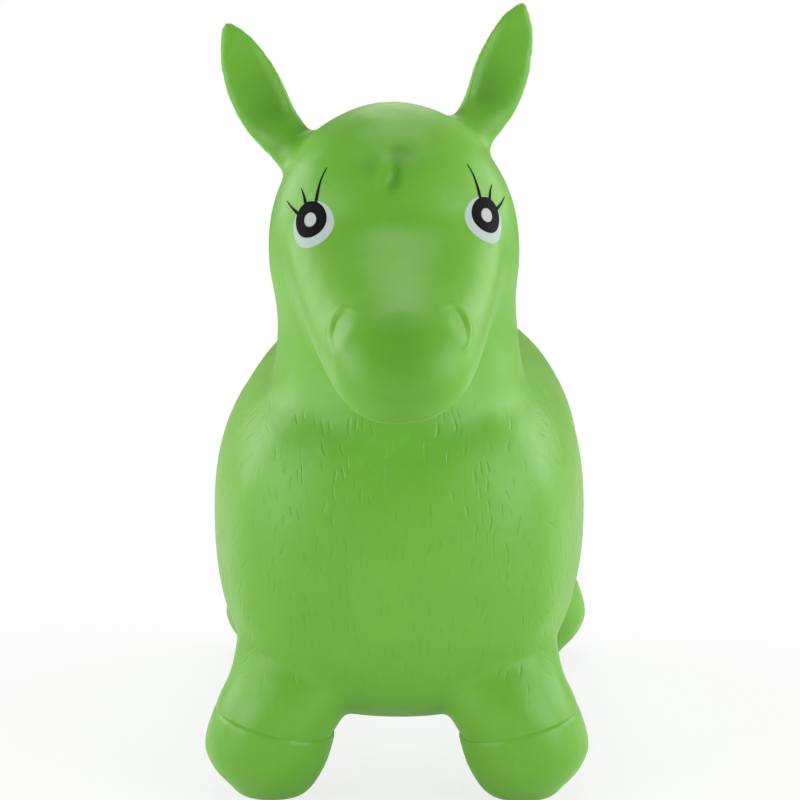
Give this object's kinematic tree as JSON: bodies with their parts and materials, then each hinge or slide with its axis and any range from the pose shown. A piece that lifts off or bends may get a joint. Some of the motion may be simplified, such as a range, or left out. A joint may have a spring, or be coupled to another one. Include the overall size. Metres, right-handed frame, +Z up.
{
  "type": "bouncy ride on animal",
  "caption": "Inflatable bouncy horse to sit on and hop, with upright ears to hold, splayed legs on rounded hooves, printed eyes and a plugged air valve in its belly.",
  "frame": {"origin": "bottom centre of the bounding box, on the floor between the four hooves", "axes": "-Y is the way the horse faces, +X its left side, +Z up"},
  "size_m": [0.2932, 0.5926, 0.5541],
  "materials": {
    "green_skin": "satin soft PVC, moulded with fine hair lines",
    "eye_white": "pad-printed ink",
    "eye_black": "pad-printed ink",
    "eye_light": "pad-printed ink",
    "valve_plug": "satin"
  },
  "bodies": {
    "horse": {"trunk_skin": "green_skin", "neck_skin": "green_skin", "head_skin": "green_skin", "left_ear": "green_skin", "right_ear": "green_skin", "mane": "green_skin", "forelock": "green_skin", "tail": "green_skin", "valve_seat": "green_skin", "front_left_leg": "green_skin", "front_right_leg": "green_skin", "rear_left_leg": "green_skin", "rear_right_leg": "green_skin", "left_eye_white": "eye_white", "left_eye_iris": "eye_black", "left_lash_inner": "eye_black", "left_lash_middle": "eye_black", "left_lash_outer": "eye_black", "left_eye_glint": "eye_light", "right_eye_white": "eye_white", "right_eye_iris": "eye_black", "right_lash_inner": "eye_black", "right_lash_middle": "eye_black", "right_lash_outer": "eye_black", "right_eye_glint": "eye_light"},
    "hooves": {"front_left_hoof": "green_skin", "front_right_hoof": "green_skin", "rear_left_hoof": "green_skin", "rear_right_hoof": "green_skin"},
    "plug": {"air_plug": "valve_plug"}
  },
  "joints": [
    {"name": "bounce", "type": "slide", "parent": "horse", "child": "hooves", "axis": [0, 0, 1], "range_m": [0, 0.01], "stiffness_N_per_m": 6000, "springref_m": -0.012, "deforming": ["front_left_leg", "front_right_leg", "rear_left_leg", "rear_right_leg"]},
    {"name": "air_plug_pull", "type": "slide", "parent": "horse", "child": "plug", "axis": [0, 0, -1], "range_m": [0, 0.014]}
  ]
}
